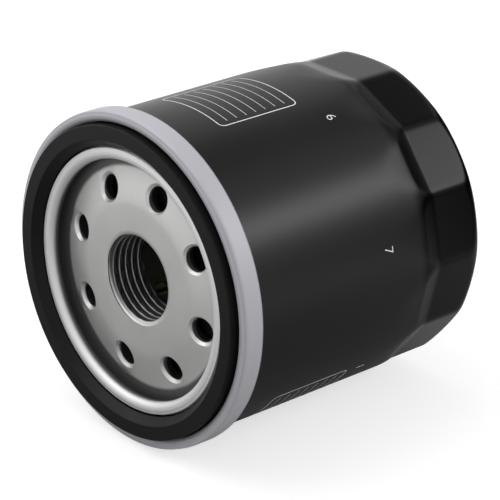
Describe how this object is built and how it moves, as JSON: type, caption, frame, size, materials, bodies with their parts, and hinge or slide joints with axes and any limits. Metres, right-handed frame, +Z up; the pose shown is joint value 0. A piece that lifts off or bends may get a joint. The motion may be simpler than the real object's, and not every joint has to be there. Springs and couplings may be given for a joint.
{
  "type": "oil filter",
  "caption": "Short spin-on oil filter: black drawn canister with a fluted closed end, rolled seam, threaded plate with inlet holes, rubber gasket, and a sprung pleated element inside.",
  "frame": {"origin": "on the thread's axis where the full thread begins, 0.4 mm inside the threaded plate's outer face", "axes": "-Y along the thread's axis, out of the threaded end; +Z up with the filter lying on its side on one wrench flat's line; +X to the right seen from the threaded end"},
  "size_m": [0.068, 0.0674, 0.068],
  "materials": {
    "black_paint": "satin black baked paint over drawn steel",
    "lid_zinc": "satin zinc plate, with a lavender-grey lacquered outer roll",
    "plate_zinc": "satin zinc-plated pressed steel",
    "gasket_rubber": "matt black nitrile, lightly oiled",
    "valve_rubber": "matt black nitrile",
    "tinplate": "bright tinplate",
    "tube_steel": "plain rolled steel",
    "spring_steel": "drawn spring steel",
    "adhesive": "cured amber plastisol",
    "filter_paper": "resin-treated filter paper",
    "seam_compound": "cured sealing compound"
  },
  "bodies": {
    "housing": {"canister": "black_paint", "seaming_lid": "lid_zinc", "seam_compound": "seam_compound", "threaded_plate": "plate_zinc", "sealing_gasket": "gasket_rubber", "spring_seat": "tube_steel", "element_spring": "spring_steel"},
    "element": {"upper_end_cap": "tinplate", "upper_adhesive": "adhesive", "centre_tube": "tube_steel", "pleated_media": "filter_paper", "pleat_clip": "tube_steel", "lower_adhesive": "adhesive", "lower_end_cap": "tinplate", "bypass_housing": "tinplate", "bypass_retainer": "tinplate", "bypass_spring": "spring_steel"},
    "poppet": {"bypass_poppet": "tinplate", "bypass_seal": "gasket_rubber"},
    "flap": {"drainback_valve": "valve_rubber"}
  },
  "joints": [
    {"name": "element_float", "type": "slide", "parent": "housing", "child": "element", "axis": [0, 1, 0], "range_m": [0, 0.002], "stiffness_N_per_m": 4000, "springref_m": -0.006, "deforming": ["element_spring"]},
    {"name": "bypass_open", "type": "slide", "parent": "element", "child": "poppet", "axis": [0, -1, 0], "range_m": [0, 0.003], "stiffness_N_per_m": 1000, "springref_m": -0.007, "deforming": ["bypass_spring"]},
    {"name": "drainback_open", "type": "slide", "parent": "housing", "child": "flap", "axis": [0, 1, 0], "range_m": [0, 0.001], "stiffness_N_per_m": 300, "springref_m": -0.001, "deforming": ["drainback_valve"]}
  ]
}
